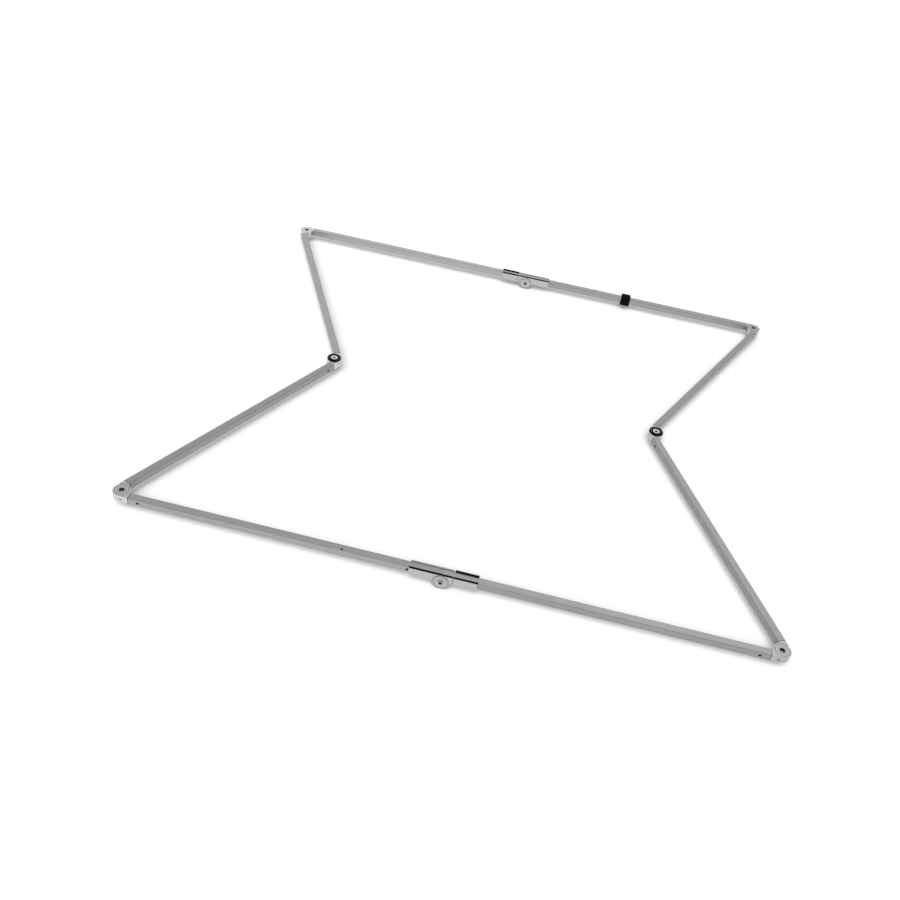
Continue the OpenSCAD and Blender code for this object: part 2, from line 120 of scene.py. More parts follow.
BARE_METAL = 0.56                       # tone of scuffed aluminium
EDGE_SHADE_AND_WEAR = (0.6 * MM, 0.1 * MM)        # start and full, in from the chamfer, of painted shade along the edges and of rubbed wear
SEAM_SHADE = (2.6 * MM, 1.4 * MM)        # start and full, in from the end, of painted shade at the joint
SCREW_SHADE = (4.7 * MM, 5.5 * MM)       # full and gone, round a small screw: painted shade of its recess
TURNING_PITCH = 1.3 * MM                # feed marks of the turned faces
GROOVE_FADE = 0.25 * MM
RIM_FADE = 0.3 * MM
SOCKET_FADE = 0.1 * MM
POLISHED_RIM = (1.2 * MM, 0.2 * MM)     # start and full, in from the rim


class Graph:
    """A node material. Sizes are metres in the object's own coordinates."""

    def __init__(self, name):
        self.material = bpy.data.materials.new(name)
        self.material.use_nodes = True
        self.tree = self.material.node_tree
        self.shader = self.tree.nodes["Principled BSDF"]
        coordinates = self.add("ShaderNodeTexCoord")
        self.place = coordinates.outputs["Object"]
        self.normal = coordinates.outputs["Normal"]

    def add(self, kind, inputs=None, **settings):
        """New node with its settings made and its inputs set or linked."""
        node = self.tree.nodes.new(kind)
        for key, value in settings.items():
            setattr(node, key, value)
        for key, value in (inputs or {}).items():
            self.put(node.inputs[key], value)
        return node

    def put(self, socket, value):
        """Links a socket, or sets its own value."""
        if isinstance(value, bpy.types.NodeSocket):
            self.tree.links.new(value, socket)
        else:
            socket.default_value = value

    def math(self, operation, first, second=0.0, third=0.0):
        return self.add("ShaderNodeMath", {0: first, 1: second, 2: third},
                        operation=operation).outputs[0]

    def vector(self, operation, first, second=(0, 0, 0)):
        return self.add("ShaderNodeVectorMath", {0: first, 1: second},
                        operation=operation)

    def scaled(self, vector, factors):
        return self.vector("MULTIPLY", vector, factors).outputs[0]

    def shifted(self, vector, offset):
        return self.vector("ADD", vector, offset).outputs[0]

    def local(self, origin, angle=0.0):
        """Coordinates turned and moved to a part's own axes."""
        return self.add("ShaderNodeMapping",
                        {"Vector": self.place, "Location": origin,
                         "Rotation": (0, 0, angle)},
                        vector_type="TEXTURE").outputs[0]

    def split(self, vector):
        return self.add("ShaderNodeSeparateXYZ", {0: vector}).outputs

    def noise(self, vector, scale=1.0, detail=2.0, roughness=0.5):
        return self.add("ShaderNodeTexNoise",
                        {"Vector": vector, "Scale": scale, "Detail": detail,
                         "Roughness": roughness}).outputs["Fac"]

    def streaks(self, vector, stretch, detail, roughness, low, high):
        """1 where a stretched noise passes high, 0 where it is under low."""
        return self.span(self.noise(self.scaled(vector, stretch), 1.0, detail,
                                    roughness), low, high)

    def radius(self, own, standing=False):
        """Distance from the part's axis, along Z or, standing, along Y."""
        across = (1, 0, 1) if standing else (1, 1, 0)
        return self.vector("LENGTH",
                           self.scaled(own, across)).outputs["Value"]

    def rings(self, radius, scale, detail=3.0, roughness=0.7, row=0.0):
        """Noise that changes with the radius only. row picks the pattern."""
        track = self.add("ShaderNodeCombineXYZ", {0: radius, 1: row})
        return self.noise(track.outputs[0], scale, detail, roughness)

    def span(self, value, low, high, new_low=0.0, new_high=1.0):
        """Maps low..high to new_low..new_high, held at both ends."""
        return self.add("ShaderNodeMapRange",
                        {"Value": value, "From Min": low, "From Max": high,
                         "To Min": new_low, "To Max": new_high}
                        ).outputs["Result"]

    def band(self, value, low, high, soft):
        """1 between low and high, fading over soft on both sides."""
        return self.math("MULTIPLY",
                         self.span(value, low - soft, low),
                         self.span(value, high, high + soft, 1.0, 0.0))

    def mix(self, factor, first, second):
        node = self.add("ShaderNodeMix", data_type="RGBA")
        self.put(node.inputs[0], factor)
        self.put(node.inputs[6], first)
        self.put(node.inputs[7], second)
        return node.outputs[2]

    def stain(self, colour, mask, amount, tone, warmth=0.0):
        """colour, with a share of a grey tone where mask is 1."""
        return self.mix(self.math("MULTIPLY", mask, amount), colour,
                        grey(tone, warmth))

    def total(self, base, *terms):
        """base plus each (value, weight), values centred on one half."""
        result = base
        for value, weight in terms:
            centred = self.math("MULTIPLY_ADD", value, weight, -weight / 2)
            result = self.math("ADD", centred, result)
        return result

    def bump(self, height, distance, strength):
        node = self.add("ShaderNodeBump",
                        {"Height": height, "Distance": distance,
                         "Strength": strength})
        self.put(self.shader.inputs["Normal"], node.outputs[0])

    def finish(self, colour, roughness, **sockets):
        """Connects the shader. sockets are its other inputs by name."""
        self.put(self.shader.inputs["Base Color"], colour)
        self.put(self.shader.inputs["Roughness"], roughness)
        for name, value in sockets.items():
            label = name.replace("_", " ").title().replace("Ior", "IOR")
            self.put(self.shader.inputs[label], value)
        return self.material


def grey(value, warmth=0.0):
    """Near-neutral linear colour. Warmth above 0 leans to red."""
    return (value * (1 + warmth), value, value * (1 - warmth), 1.0)


def drawn_metal(name, axis, tones, seed, screws, seam_ends=(-1, 1)):
    """Satin extruded aluminium: die lines along the tube, faint mottling,
    etched grain, sparse scuffs, edges with painted shade and rubbed wear,
    a band of painted shade where a knuckle butts on and painted shade round
    the small screws. axis is what tube_axis gives, tones are for the top and
    bottom and for the sides, their difference painted shade, screws are the
    small screws' middles and seam_ends the tube's ends that have a knuckle."""
    origin, angle, half_length = axis
    flat_tone, side_tone = tones
    g = Graph(name)
    own = g.local(origin, angle)
    moved = g.shifted(own, (seed * 3.1, seed * 1.7, seed * 0.9))
    bands = g.noise(g.scaled(moved, DIE_BANDS))
    lines = g.noise(g.scaled(moved, DIE_LINES), 1.0, 3.0, 0.6)
    hairs = g.noise(g.scaled(moved, DIE_HAIRS))
    mottle = g.noise(moved, 28.0, 4.0, 0.62)
    cloud = g.noise(moved, 5.0)
    grain = g.noise(moved, 2200.0)
    scuff = g.streaks(moved, TUBE_SCUFFS, 5.0, 0.7, 0.66, 0.74)
    x, y, z = g.split(own)
    rim = g.math("ADD", g.math("ABSOLUTE", y), g.math("ABSOLUTE", z))
    reach = 2 * TUBE_HALF - TUBE_CHAMFER
    edge = g.span(rim, reach - EDGE_SHADE_AND_WEAR[0], reach - EDGE_SHADE_AND_WEAR[1])
    rub = g.streaks(moved, EDGE_RUBS, 3.0, 0.5, 0.55, 0.7)
    along = x if len(seam_ends) == 1 else g.math("ABSOLUTE", x)
    seam = g.span(g.math("MULTIPLY", along, seam_ends[-1]),
                  half_length - SEAM_SHADE[0], half_length - SEAM_SHADE[1])
    flat = g.span(g.math("ABSOLUTE", g.split(g.normal)[2]), 0.4, 0.9)
    shade = g.total(0.5, (bands, 0.55), (lines, 0.30), (hairs, 0.12),
                    (mottle, 0.45), (cloud, 0.35), (grain, 0.12))
    # Painted shade: the sides and the top and bottom take different tones,
    # after how light falls on them.
    low = g.mix(flat, grey(side_tone * 0.82, 0.012),
                grey(flat_tone * 0.82, 0.012))
    high = g.mix(flat, grey(side_tone * 1.18, 0.004),
                 grey(flat_tone * 1.18, 0.004))
    colour = g.mix(shade, low, high)
    colour = g.stain(colour, scuff, 0.25, BARE_METAL)
    # Painted shade: the edges darkened.
    colour = g.stain(colour, edge, 0.5, 0.10, 0.02)
    colour = g.stain(colour, g.math("MULTIPLY", edge, rub), 0.6, BARE_METAL)
    # Painted shade where a knuckle butts on.
    colour = g.stain(colour, seam, 0.9, 0.03, 0.03)
    # Painted shade round each small screw, as in a shadowed countersink.
    for place in screws:
        gap = g.vector("DISTANCE", g.place, place).outputs["Value"]
        painted_shade = g.span(gap, *SCREW_SHADE, 0.9, 0.0)
        colour = g.mix(painted_shade, colour, grey(0.015, 0.03))
    rough = g.total(0.43, (bands, 0.08), (lines, 0.10), (mottle, 0.14),
                    (grain, 0.10))
    rough = g.math("SUBTRACT", rough, g.math("MULTIPLY", edge, 0.08))
    height = g.total(0.5, (bands, 0.5), (lines, 0.6), (hairs, 0.3),
                     (grain, 0.3), (scuff, -0.4))
    g.bump(height, 0.06 * MM, 0.5)
    return g.finish(colour, rough, metallic=1.0)


def turned_metal(name, origin, angle, tones, seed, grooves=(),
                 standing=False):
    """Bright machined aluminium: fine turned rings about origin on the faces
    across its axis, brushing along the other faces, dark rings of painted
    shade at the grooves. tones are for turned and brushed faces, their
    difference painted shade, grooves are (inner, outer) radii,
    standing turns the axis to Y."""
    turned_tone, brushed_tone = tones
    g = Graph(name)
    own = g.local(origin, angle)
    moved = g.shifted(own, (seed * 2.3, seed * 1.1, seed * 1.9))
    radius = g.radius(own, standing)
    facing = g.math("ABSOLUTE", g.split(g.normal)[1 if standing else 2])
    flat = g.span(facing, 0.75, 0.95)
    wobble = g.noise(moved, 60.0)
    phase = g.math("MULTIPLY_ADD", radius, 2 * math.pi / TURNING_PITCH,
                   g.math("MULTIPLY", wobble, 2.0))
    turning = g.math("MULTIPLY_ADD", g.math("SINE", phase), 0.5, 0.5)
    rings = g.rings(radius, 900.0, row=seed * 1.3)
    turned = g.total(0.5, (turning, 0.35), (rings, 0.9))
    brushed = g.noise(g.scaled(moved, BRUSHING), 1.0, 3.0, 0.6)
    tool = g.mix(flat, brushed, turned)
    mottle = g.noise(moved, 90.0, 4.0, 0.6)
    grain = g.noise(moved, 2500.0)
    shade = g.total(0.5, (tool, 0.75), (mottle, 0.45), (grain, 0.12))
    # Painted shade: the turned and the brushed faces take different tones,
    # after how light falls on them.
    low = g.mix(flat, grey(brushed_tone * 0.80, 0.020),
                grey(turned_tone * 0.72, 0.020))
    high = g.mix(flat, grey(brushed_tone * 1.16, 0.006),
                 grey(turned_tone * 1.24, 0.006))
    colour = g.mix(shade, low, high)
    # Painted shade: dark rings at the grooves and the rim.
    for inner, outer in grooves:
        painted_shade = g.math("MULTIPLY", flat,
                      g.band(radius, inner, outer, GROOVE_FADE))
        colour = g.stain(colour, painted_shade, 0.85, 0.09, 0.04)
    rough = g.total(0.27, (tool, 0.14), (mottle, 0.14), (grain, 0.08))
    height = g.total(0.5, (tool, 0.8), (grain, 0.25))
    g.bump(height, 0.05 * MM, 0.6)
    return g.finish(colour, rough, metallic=1.0)


def socket_steel(name, origin, rim_tone, face_tone, floor_tone, rim, socket,
                 standing=False):
    """Screw head: a rim band, a face and a socket floor, each its own tone,
    with turned marks. rim and socket are radii, standing turns the axis
    to Y."""
    g = Graph(name)
    own = g.local(origin)
    radius = g.radius(own, standing)
    rings = g.rings(radius, 1100.0, row=origin.x)
    wear = g.noise(own, 420.0, 4.0, 0.65)
    grain = g.noise(own, 3000.0)
    shade = g.total(0.5, (rings, 0.5), (wear, 0.5), (grain, 0.2))
    face = g.mix(shade, grey(face_tone * 0.75), grey(face_tone * 1.25))
    floor = g.mix(shade, grey(floor_tone * 0.75), grey(floor_tone * 1.2))
    edge = g.mix(shade, grey(rim_tone * 0.85), grey(rim_tone * 1.1))
    colour = g.mix(g.span(radius, rim - RIM_FADE, rim + RIM_FADE), face,
                   edge)
    colour = g.mix(g.span(radius, socket - RIM_FADE, socket + SOCKET_FADE),
                   floor, colour)
    rough = g.total(0.34, (wear, 0.2), (rings, 0.1))
    g.bump(g.total(0.5, (rings, 0.6), (grain, 0.4)), 0.04 * MM, 0.6)
    return g.finish(colour, rough, metallic=1.0)


def black_oxide(name, seed):
    """Blackened steel of the small grub screws, worn bright in spots."""
    g = Graph(name)
    moved = g.shifted(g.place, (seed, 0, 0))
    wear = g.noise(moved, 700.0, 4.0, 0.7)
    grain = g.noise(moved, 3500.0)
    colour = g.mix(g.span(wear, 0.66, 0.82), grey(0.002), grey(0.012))
    rough = g.total(0.6, (wear, 0.2), (grain, 0.1))
    g.bump(grain, 0.03 * MM, 0.5)
    return g.finish(colour, rough, metallic=0.3, specular_ior_level=0.03)


def moulded_black(name, origin, outer):
    """Black plastic: eroded mould grain, faint rings about origin, dusty
    scuffs and a slightly polished rim at radius outer."""
    g = Graph(name)
    own = g.local(origin)
    radius = g.radius(own)
    rings = g.rings(radius, 700.0, 2.0, 0.6)
    grain = g.noise(own, 2600.0, 3.0, 0.6)
    dust = g.noise(own, 130.0, 4.0, 0.6)
    scuff = g.streaks(own, CAP_SCUFFS, 4.0, 0.7, 0.64, 0.74)
    shade = g.total(0.25, (dust, 0.5), (rings, 0.3), (grain, 0.2))
    colour = g.mix(shade, grey(0.0012), grey(0.0055, 0.02))
    colour = g.stain(colour, scuff, 0.2, 0.025)
    rim = g.span(radius, outer - POLISHED_RIM[0], outer - POLISHED_RIM[1])
    colour = g.stain(colour, rim, 0.3, 0.03)
    rough = g.math("SUBTRACT", g.total(0.46, (dust, 0.18), (grain, 0.16)),
                   g.math("MULTIPLY", rim, 0.12))
    g.bump(g.total(0.5, (grain, 0.8), (rings, 0.3)), 0.05 * MM, 0.7)
    return g.finish(colour, rough, specular_ior_level=0.03)


def polished_ring(name, origin):
    """Bright turned ring round the knee screw."""
    g = Graph(name)
    own = g.local(origin)
    rings = g.rings(g.radius(own), 1500.0)
    smear = g.noise(own, 260.0, 4.0, 0.6)
    shade = g.total(0.5, (rings, 0.5), (smear, 0.5))
    colour = g.mix(shade, grey(0.88), grey(0.98))
    rough = g.total(0.22, (smear, 0.16), (rings, 0.10))
    g.bump(rings, 0.03 * MM, 0.5)
    return g.finish(colour, rough, metallic=1.0)


def print_white(name):
    """Pad-printed pale marks, slightly worn."""
    g = Graph(name)
    wear = g.noise(g.place, 900.0, 4.0, 0.7)
    colour = g.mix(g.span(wear, 0.42, 0.66), grey(0.42), grey(0.20))
    rough = g.total(0.55, (wear, 0.2))
    g.bump(wear, 0.02 * MM, 0.5)
    return g.finish(colour, rough)


def webbing(name, origin, pitch):
    """Black woven webbing: over-and-under ribs of a pitch, fibres, lint."""
    g = Graph(name)
    own = g.local(origin)
    x, y, z = g.split(own)
    along = g.math("ADD", y, z)
    turns = 2 * math.pi / pitch
    warp = g.math("SINE", g.math("MULTIPLY", x, turns))
    weft = g.math("SINE", g.math("MULTIPLY", along, turns))
    over = g.math("MULTIPLY", warp, weft)
    fibre = g.noise(g.scaled(own, FIBRES), 1.0, 3.0, 0.7)
    lint = g.streaks(own, LINT, 5.0, 0.8, 0.66, 0.74)
    patch = g.noise(own, 120.0, 3.0)
    weave = g.math("MULTIPLY_ADD", over, 0.5, 0.5)
    shade = g.total(0.4, (weave, 0.5), (fibre, 0.4), (patch, 0.4))
    colour = g.mix(shade, grey(0.0008), grey(0.0048, 0.01))
    colour = g.stain(colour, lint, 0.16, 0.035)
    rough = g.total(0.86, (fibre, 0.14))
    g.bump(g.total(0.5, (weave, 0.9), (fibre, 0.5)), 0.22 * MM, 0.8)
    return g.finish(colour, rough, sheen_weight=0.02, sheen_roughness=0.5,
                    specular_ior_level=0.05)


def paint(node, material):
    """Gives a CAD node one material in place of its own."""
    slots = nodes[node].data.materials
    slots.clear()
    slots.append(material)


# ---------- finishes of the CAD nodes ----------

# Tones are for the top and bottom and for the sides of a tube, and for the
# turned and the brushed faces of a knuckle or bracket. Their differences,
# between faces and between like parts, are painted light and shade: lighter
# and darker copies of one finish, after how light falls on each.
RAIL_TONES = {"front_left": (0.35, 0.40), "front_right": (0.40, 0.33),
              "back_left": (0.45, 0.42), "back_right": (0.40, 0.35)}
ARM_TONES = {"left_front": (0.33, 0.31), "left_back": (0.40, 0.39),
             "right_front": (0.38, 0.29), "right_back": (0.34, 0.34)}
KNUCKLE_TONES = {"front_left": (0.53, 0.64), "front_right": (0.47, 0.46),
                 "back_left": (0.66, 0.56), "back_right": (0.50, 0.48)}
KNEE_TONES = {"left": (0.60, 0.60), "right": (0.50, 0.48)}
BRACKET_TONES = (0.50, 0.44)

# Inner and outer radii of the rings of painted shade on the corner forks and
# hinge ears.
RING_INNER = (12.5 * MM, 14.1 * MM)
RING_OUTER = (20.5 * MM, 22.1 * MM)
RING_RIM = (26.2 * MM, 27.1 * MM)
EAR_RING = (20.6 * MM, 22.2 * MM)

CORNER_SCREW = {"rim_tone": 0.08, "face_tone": 0.012, "floor_tone": 0.62,
                "rim": 7.8 * MM, "socket": 3.9 * MM}
KNEE_SCREW = {"rim_tone": 0.90, "face_tone": 0.04, "floor_tone": 0.008,
              "rim": 6.3 * MM, "socket": 4.6 * MM}
# The hinge pins' near-black socket floor is painted shade in the socket.
HINGE_PIN = {"rim_tone": 0.30, "face_tone": 0.50, "floor_tone": 0.006,
             "rim": 8.7 * MM, "socket": 5.6 * MM, "standing": True}

# The first seed of each family keeps any two parts from sharing a pattern.
ARM_SEED, KNEE_SEED, HINGE_SEED = 4, 9, 13

for seed, (side, tones) in enumerate(RAIL_TONES.items()):
    knuckle_end = (1,) if side.endswith("right") else (-1,)
    paint(side + "_tube",
          drawn_metal(side + "_drawn", tube_axis(side + "_tube"), tones, seed,
                      side_screws(side + "_grubs"), knuckle_end))
    paint(side + "_grubs", black_oxide(side + "_oxide", seed))
    pivot = at_mid(CORNERS[side])
    paint(side + "_fork",
          turned_metal(side + "_turned", pivot, 0.0, KNUCKLE_TONES[side],
                       seed, (RING_INNER, RING_OUTER, RING_RIM)))
    screw = socket_steel(side + "_screw_steel", pivot, **CORNER_SCREW)
    paint(side + "_screw", screw)
    paint(side + "_nut", screw)

for seed, (side, tones) in enumerate(ARM_TONES.items(), ARM_SEED):
    left_or_right, front_or_back = side.split("_")
    corner_side = front_or_back + "_" + left_or_right
    corner = CORNERS[corner_side]
    axis = tube_axis(side + "_arm_tube", corner, KNEES[left_or_right])
    paint(side + "_arm_tube",
          drawn_metal(side + "_drawn", axis, tones, seed,
                      side_screws(side + "_arm_grubs")))
    paint(side + "_arm_grubs", black_oxide(side + "_oxide", seed))
    paint(side + "_corner_tongue",
          turned_metal(side + "_corner_turned", at_mid(corner), axis[1],
                       KNUCKLE_TONES[corner_side], seed))

for seed, (side, knee) in enumerate(KNEES.items(), KNEE_SEED):
    pivot = at_mid(knee)
    paint(side + "_knee_fork",
          turned_metal(side + "_knee_turned", pivot, 0.0, KNEE_TONES[side],
                       seed))
    paint(side + "_front_knee_tongue",
          turned_metal(side + "_knee_tongue_turned", pivot, 0.0,
                       KNEE_TONES[side], seed + 2))
    screw = socket_steel(side + "_knee_steel", pivot, **KNEE_SCREW)
    paint(side + "_knee_screw", screw)
    paint(side + "_knee_nut", screw)
    low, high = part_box(side + "_knee_cap")
    paint(side + "_knee_cap",
          moulded_black(side + "_moulded", pivot, (high.x - low.x) / 2))
    paint(side + "_knee_ring", polished_ring(side + "_polished", pivot))

for seed, side in enumerate(("front", "back"), HINGE_SEED):
    pivot = centre(side + "_hinge_pin")
    for part in ("_bracket", "_leaf"):
        paint(side + part,
              turned_metal(side + part + "_brushed", pivot, 0.0,
                           BRACKET_TONES, seed + len(part),
                           (EAR_RING, RING_RIM), standing=True))
    # The liners are black strips standing in for the shade in the gaps between
    # the tubes and the bracket and leaf walls: painted shade put in as dark
    # pieces.
    for part in ("_bracket_liner", "_leaf_liners"):
        low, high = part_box(side + part)
        paint(side + part,
              moulded_black(side + part + "_moulded", centre(side + part),
                            (high - low).length))
    pin = socket_steel(side + "_pin_steel", pivot, **HINGE_PIN)
    paint(side + "_hinge_pin", pin)
    paint(side + "_hinge_nut", pin)

# ---------- rounded edges on the CAD nodes ----------

# Bevel width in mm for each kind of node, the last word of its name.
EDGE_WIDTH = {"tube": 0.30, "fork": 0.7, "tongue": 0.7, "screw": 0.35,
              "nut": 0.35, "bracket": 0.5, "leaf": 0.5, "pin": 0.4,
              "grubs": 0.15, "cap": 0.25, "ring": 0.2, "liner": 0.2,
              "liners": 0.2}
WELD_DISTANCE = 0.005 * MM
SHARP_ANGLE = math.radians(38)
FACE_WEIGHT = 60

for node, part in nodes.items():
    kind = node.split("_")[-1]
    if kind not in EDGE_WIDTH:
        continue
    weld = part.modifiers.new("weld", "WELD")
    weld.merge_threshold = WELD_DISTANCE
    bevel = part.modifiers.new("bevel", "BEVEL")
    bevel.width = EDGE_WIDTH[kind] * MM
    bevel.segments = 2
    bevel.limit_method = "ANGLE"
    bevel.angle_limit = SHARP_ANGLE
    bevel.use_clamp_overlap = True
    bevel.miter_outer = "MITER_ARC"
    normals = part.modifiers.new("normals", "WEIGHTED_NORMAL")
    normals.weight = FACE_WEIGHT
    normals.keep_sharp = False


# ---------- new pieces ----------

TOP, BACK = Vector((0, 1)), Vector((1, 0))      # directions as (y, z)
UNDER, FRONT = -TOP, -BACK
STRAP_LOW, STRAP_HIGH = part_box("strap")
STRAP_WIDTH = STRAP_HIGH.x - STRAP_LOW.x
STRAP_X = (STRAP_LOW.x + STRAP_HIGH.x) / 2
STRAP_Y = centre("back_right_tube").y
STRAP_PLACE = Vector((STRAP_X, STRAP_Y, TUBE_MID))
STRAP_LAYER = 2.3 * MM      # thickness of one wound layer
STRAP_TUCK = 1.6 * MM       # band narrower than its CAD stand-in
STRAP_FILL = 0.93           # band thickness as a share of its layer
STRAP_START = -6 * MM       # where the first layer starts above the tube
STRAP_END = -9 * MM         # where the last layer ends behind the tube
STRAP_STEP = 1.2 * MM       # about the distance between rows of vertices
LONG_SLIP = (0.8, 9.0)      # sideways waves of the layers, in mm and radians
SHORT_SLIP = (0.5, 23.0)
PUFF = (0.30 * MM, 41.0)    # waves away from the tube
CROWN = 0.10 * MM           # bulge of the band's outer face
BEND_SLACK = 0.9 * MM       # room between the tube's edge and the bend
BEND_STEPS = 8
BAND_EDGE = 7               # points round the band's edge
BAND_HALF = 6               # points across half of the band's face
RIB = 1.1 * MM              # pitch of the weave
THREAD_RIB = 0.4 * MM

STITCH_LENGTH, STITCH_THICK = 2.3 * MM, 0.42 * MM
STITCH_PITCH = 3.4 * MM
STITCH_INSET = 4.2 * MM     # from the band's edge
STITCH_BASE = 0.47          # share of a layer above the band's middle
STITCH_LIFT = 0.25 * MM
STITCHED_SHARE = 0.33       # share of the line that is the outer layer
END_ROW = 4                 # rows of vertices from the free end
END_STITCHES = 4            # each side of the middle

TICK_INNER, TICK_OUTER = 17.2 * MM, 20.2 * MM   # radii of the printed ticks
TICK_HALF_WIDTH, TICK_RISE, TICK_SINK = 0.45 * MM, 0.15 * MM, 0.05 * MM
TICK_SHORTER = 1.4 * MM     # every second tick
TICK_TAPER = 0.998
TICK_TURN = 11              # degrees between ticks
TICKS_EACH_WAY = 3


def make_piece(name, shape, material, body, smooth=True):
    """Turns a bmesh into a piece that rides on a CAD body."""
    bmesh.ops.recalc_face_normals(shape, faces=shape.faces)
    mesh = bpy.data.meshes.new(name)
    shape.to_mesh(mesh)
    shape.free()
    for face in mesh.polygons:
        face.use_smooth = smooth
    piece = bpy.data.objects.new(name, mesh)
    bpy.context.scene.collection.objects.link(piece)
    mesh.materials.append(material)
    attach(piece, body)
    return piece


def winding(sides, start, end, layer):
    """Centre line of a band wound round the square tube, as (y, z) points
    with their outward normals. sides are (outward direction, how many layers
    lie under the band there); start and end are places on the first and the
    last side."""
    corners = []
    for (first, below), (second, under) in zip(sides, sides[1:]):
        near = TUBE_HALF + (below + 0.5) * layer
        far = TUBE_HALF + (under + 0.5) * layer
        radius = (min(below, under) + 0.5) * layer + BEND_SLACK
        middle = first * (near - radius) + second * (far - radius)
        corners.append((middle, radius, first, second))
    points = [(sides[0][0] * (TUBE_HALF + (sides[0][1] + 0.5) * layer)
               + corners[0][3] * start, sides[0][0])]
    for middle, radius, first, second in corners:
        for step in range(BEND_STEPS + 1):
            turn = math.pi / 2 * step / BEND_STEPS
            out = first * math.cos(turn) + second * math.sin(turn)
            points.append((middle + out * radius, out))
    last, below = sides[-1]
    points.append((last * (TUBE_HALF + (below + 0.5) * layer)
                   - corners[-1][2] * end, last))
    return points


def spaced(points, step):
    """The same line with points about a step apart."""
    result = [points[0]]
    for (here, out), (there, way) in zip(points, points[1:]):
        parts = max(1, round((there - here).length / step))
        for part in range(1, parts + 1):
            share = part / parts
            result.append((here.lerp(there, share),
                           out.lerp(way, share).normalized()))
    return result


def band_profile(width, thickness):
    """Half-round edged cross-section of the webbing: (across, out) pairs."""
    half, round_edge = width / 2, thickness / 2
    profile = []
    for side in (1, -1):
        for step in range(BAND_EDGE):
            turn = math.pi * (step / (BAND_EDGE - 1) - 0.5)
            profile.append((side * (half - round_edge
                                    + round_edge * math.cos(turn)),
                            side * round_edge * math.sin(turn)))
        for step in range(1, 2 * BAND_HALF):
            across = side * (half - round_edge) * (1 - step / BAND_HALF)
            profile.append((across, side * round_edge))
    return profile


def wound_band(name):
    """The wound strap: four loose layers above and behind, three in front
    and below, its free end pressed flat behind the tube."""
    sides = [(TOP, 0), (BACK, 0), (UNDER, 0), (FRONT, 0),
             (TOP, 1.1), (BACK, 1.1), (UNDER, 1), (FRONT, 1),
             (TOP, 2.3), (BACK, 2.3), (UNDER, 2), (FRONT, 2),
             (TOP, 3.5), (BACK, 3.5)]
    line = spaced(winding(sides, STRAP_START, STRAP_END, STRAP_LAYER),
                  STRAP_STEP)
    shape = bmesh.new()
    profile = band_profile(STRAP_WIDTH - STRAP_TUCK,
                           STRAP_LAYER * STRAP_FILL)
    total = len(line) - 1
    rows = []
    for index, (point, out) in enumerate(line):
        share = index / total
        slip = (LONG_SLIP[0] * math.sin(share * LONG_SLIP[1]) * share
                + SHORT_SLIP[0] * math.sin(share * SHORT_SLIP[1] + 1.0)
                * share) * MM
        puff = PUFF[0] * share * (1 + math.sin(share * PUFF[1])) / 2
        row = []
        for across, rise in profile:
            crown = CROWN * math.cos(across / STRAP_WIDTH * math.pi)
            place = point + out * (rise + crown * (1 if rise > 0 else 0)
                                   + puff)
            row.append(shape.verts.new((STRAP_X + across + slip,
                                        STRAP_Y + place.x,
                                        TUBE_MID + place.y)))
        rows.append(row)
    count = len(profile)
    for row, following in zip(rows, rows[1:]):
        for index in range(count):
            nearby = (index + 1) % count
            shape.faces.new((row[index], row[nearby], following[nearby],
                             following[index]))
    shape.faces.new(rows[0])
    shape.faces.new(rows[-1])
    piece = make_piece(name, shape,
                       webbing("strap_webbing", STRAP_PLACE, RIB),
                       "back_right_rail")
    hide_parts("strap")
    return line


def stitch_rows(name, line):
    """Thread along both edges of the outer layer and across its end."""
    shape = bmesh.new()
    rise = STRAP_LAYER * STITCH_BASE + STITCH_LIFT
    outer = line[-int(len(line) * STITCHED_SHARE):]
    places = []
    walked = 0.0
    for (here, out), (there, _) in zip(outer, outer[1:]):
        walked += (there - here).length
        if walked < STITCH_PITCH:
            continue
        walked = 0.0
        along = (there - here).normalized()
        for side in (-1, 1):
            places.append((side * (STRAP_WIDTH / 2 - STITCH_INSET), here, out,
                           Vector((0, along.x, along.y))))
    here, out = outer[-END_ROW]
    for step in range(-END_STITCHES, END_STITCHES + 1):
        places.append((step * STITCH_PITCH, here, out, Vector((1, 0, 0))))
    for across, here, out, along in places:
        normal = Vector((0, out.x, out.y))
        middle = Vector((STRAP_X + across, STRAP_Y + here.x,
                         TUBE_MID + here.y)) + normal * rise
        sideways = normal.cross(along)
        turn = Matrix((along, sideways, normal)).transposed().to_4x4()
        size = Matrix.Diagonal((STITCH_LENGTH / 2, STITCH_THICK / 2,
                                STITCH_THICK / 2, 1))
        bmesh.ops.create_icosphere(
            shape, subdivisions=2, radius=1.0,
            matrix=Matrix.Translation(middle) @ turn @ size)
    make_piece(name, shape, webbing("strap_thread", STRAP_PLACE, THREAD_RIB),
               "back_right_rail")


